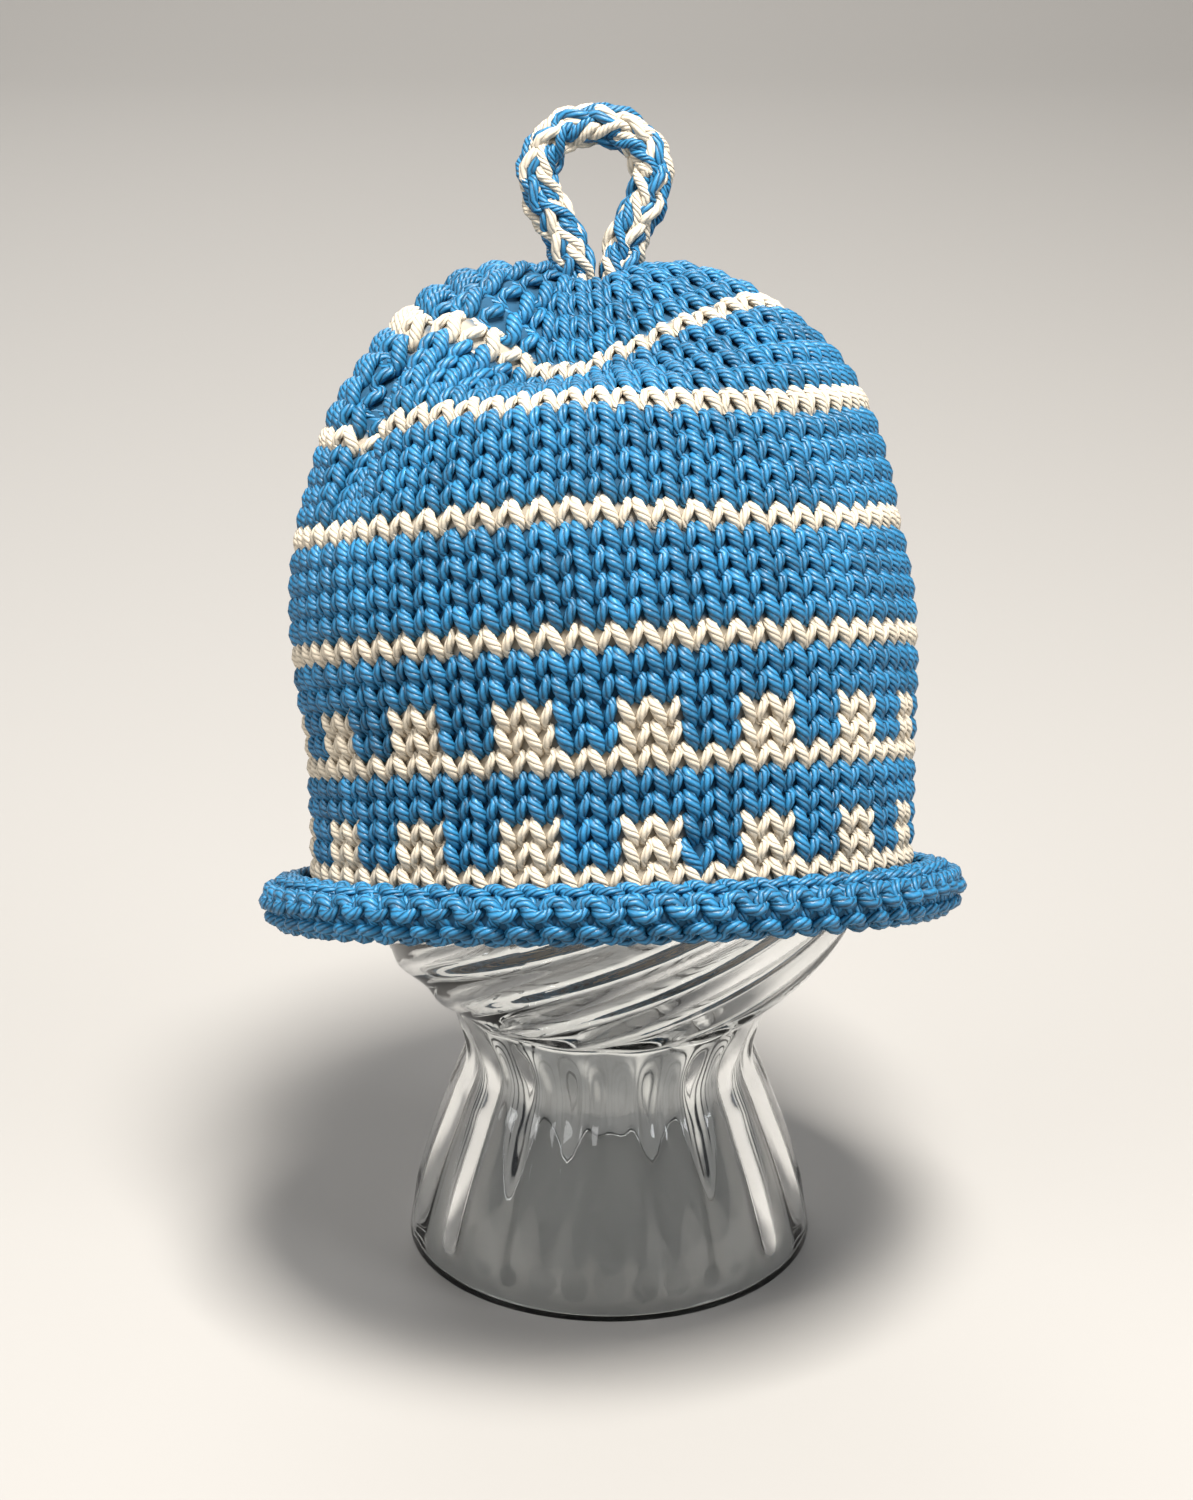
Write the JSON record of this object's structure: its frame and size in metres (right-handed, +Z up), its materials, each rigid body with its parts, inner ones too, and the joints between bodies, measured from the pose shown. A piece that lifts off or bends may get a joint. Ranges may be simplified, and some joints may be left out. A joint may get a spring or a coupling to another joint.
{
  "type": "knitted baby hat on an upturned glass vase",
  "caption": "Hand-knitted baby hat with a rolled brim, gathered crown and cord loop, leaning back on an upturned clear glass vase that stands on its flared rim.",
  "frame": {"origin": "on the table, under the middle of the whole part's box", "axes": "+Z up, the front of the hat towards -Y, +X to the right when seen from the front; the hat leans back towards +Y and a little towards -X"},
  "size_m": [0.1412, 0.153, 0.2256],
  "materials": {
    "blue_cotton": "plied cotton yarn, knitted, soft sheen",
    "cream_cotton": "plied cotton yarn, knitted, soft sheen",
    "clear_glass": "clear, smooth, with soft moulded ribs"
  },
  "bodies": {
    "root": {"hat_body": "blue_cotton", "rolled_brim": "blue_cotton", "top_loop": "cream_cotton", "glass_stand": "clear_glass"}
  },
  "joints": []
}
